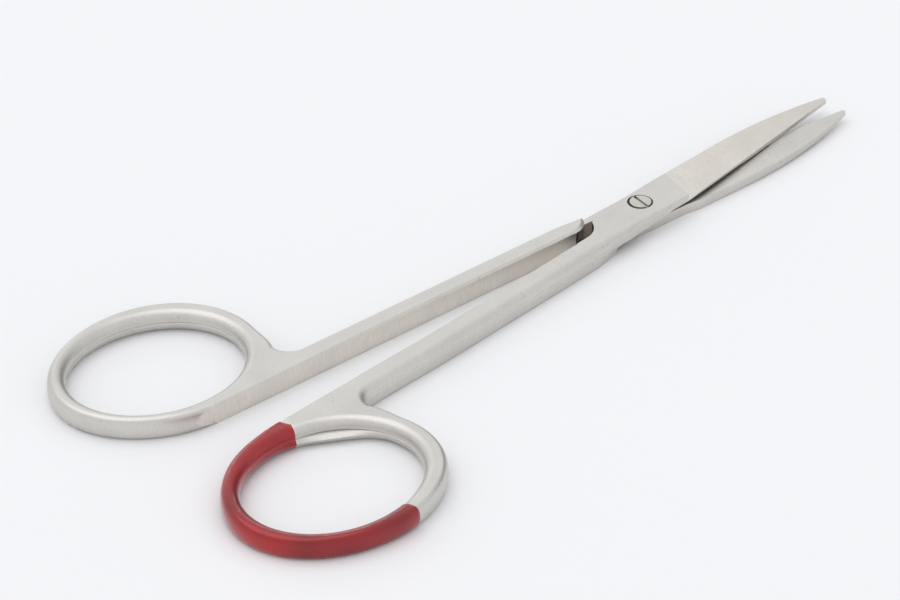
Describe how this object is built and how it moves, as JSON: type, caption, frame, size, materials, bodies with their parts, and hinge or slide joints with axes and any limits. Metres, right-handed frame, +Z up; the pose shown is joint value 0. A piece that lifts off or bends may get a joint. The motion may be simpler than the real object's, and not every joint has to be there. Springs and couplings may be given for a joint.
{
  "type": "suture scissors",
  "caption": "Straight steel suture scissors lying slightly open: two forged halves with finger rings on a slotted pivot screw, one ring coated red.",
  "frame": {"origin": "pivot axis at the underside of the lower half", "axes": "+X to the tips, +Y to the lower half's ring, +Z up along the pivot axis"},
  "size_m": [0.1147, 0.0531, 0.0028],
  "materials": {
    "steel": "satin ground stainless steel",
    "screw": "turned and ground stainless steel",
    "lacquer": "glossy red lacquer over steel"
  },
  "bodies": {
    "lower": {"lower_half": "steel", "pivot_screw": "screw"},
    "upper": {"upper_half": "steel", "ring_coating": "lacquer"}
  },
  "joints": [
    {"name": "pivot", "type": "hinge", "parent": "lower", "child": "upper", "pos_m": [0, 0, 0.0014], "axis": [0, 0, 1], "range_deg": [-6.3, 55]}
  ]
}
